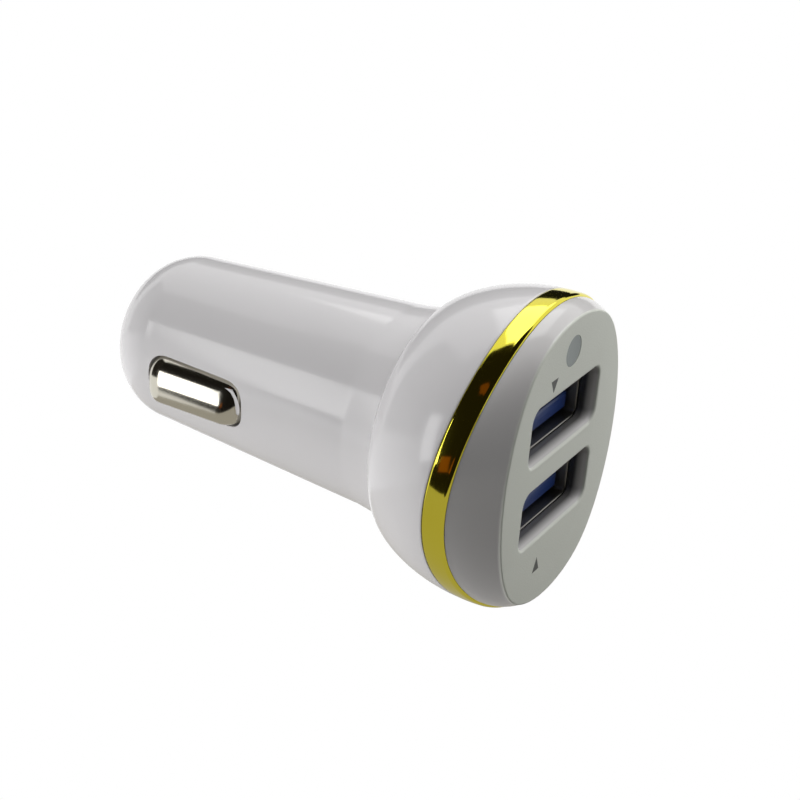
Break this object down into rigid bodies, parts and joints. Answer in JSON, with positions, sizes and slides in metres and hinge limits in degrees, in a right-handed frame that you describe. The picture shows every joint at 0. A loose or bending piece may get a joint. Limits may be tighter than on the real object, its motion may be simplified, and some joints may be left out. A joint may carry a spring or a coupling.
{
  "type": "car usb charger plug",
  "caption": "12 V car charger plug with a domed head, a plated trim ring, stacked USB type A sockets and sprung nose and side contacts.",
  "frame": {"origin": "on the barrel's axis, in the plane of the flat front face that the plug stands on", "axes": "+Z along the barrel to the nose, +Y towards the indicator window, X along the sockets' long side"},
  "size_m": [0.0306, 0.0305, 0.0494],
  "materials": {
    "white_gloss": "gloss, faintly warm white",
    "gold_plate": "bright plated",
    "white_satin": "satin face, gloss sides",
    "clear_grey": "translucent",
    "nickel": "bright nickel",
    "spring_steel": "drawn",
    "brass": "plain",
    "board": "solder mask",
    "tin_plate": "tinned",
    "blue_plastic": "moulded",
    "ferrite": "sintered",
    "copper": "enamelled wire",
    "capacitor_sleeve": "shrink sleeve",
    "black_resin": "moulded resin"
  },
  "bodies": {
    "casing": {"plug_body": "white_gloss", "trim_ring": "gold_plate", "front_bezel": "white_satin", "light_guide": "clear_grey", "pin_spring": "spring_steel", "spring_seat": "brass", "leaf_right": "spring_steel", "leaf_left": "spring_steel", "socket_board": "board", "main_board": "board", "board_pins": "brass", "usb_shell_upper": "tin_plate", "usb_shell_lower": "tin_plate", "usb_tongue_upper": "blue_plastic", "usb_tongue_lower": "blue_plastic", "usb_contacts_upper": "brass", "usb_contacts_lower": "brass", "status_led": "clear_grey", "led_leads": "tin_plate", "inductor_core": "ferrite", "inductor_winding": "copper", "input_capacitor": "capacitor_sleeve", "output_capacitor": "capacitor_sleeve", "converter_chip": "black_resin", "chip_legs": "tin_plate", "rectifier": "black_resin", "chip_resistors": "black_resin"},
    "nose_contact": {"centre_pin": "nickel"},
    "right_contact": {"side_contact_right": "nickel"},
    "left_contact": {"side_contact_left": "nickel"}
  },
  "joints": [
    {"name": "nose_contact_slide", "type": "slide", "parent": "casing", "child": "nose_contact", "axis": [0, 0, -1], "range_m": [0, 0.0012], "stiffness_N_per_m": 300, "springref_m": -0.002, "deforming": ["pin_spring"]},
    {"name": "right_contact_slide", "type": "slide", "parent": "casing", "child": "right_contact", "axis": [-1, 0, 0], "range_m": [0, 0.0012], "stiffness_N_per_m": 300, "springref_m": -0.002, "deforming": ["leaf_right"]},
    {"name": "left_contact_slide", "type": "slide", "parent": "casing", "child": "left_contact", "axis": [1, 0, 0], "range_m": [0, 0.0012], "stiffness_N_per_m": 300, "springref_m": -0.002, "deforming": ["leaf_left"]}
  ]
}
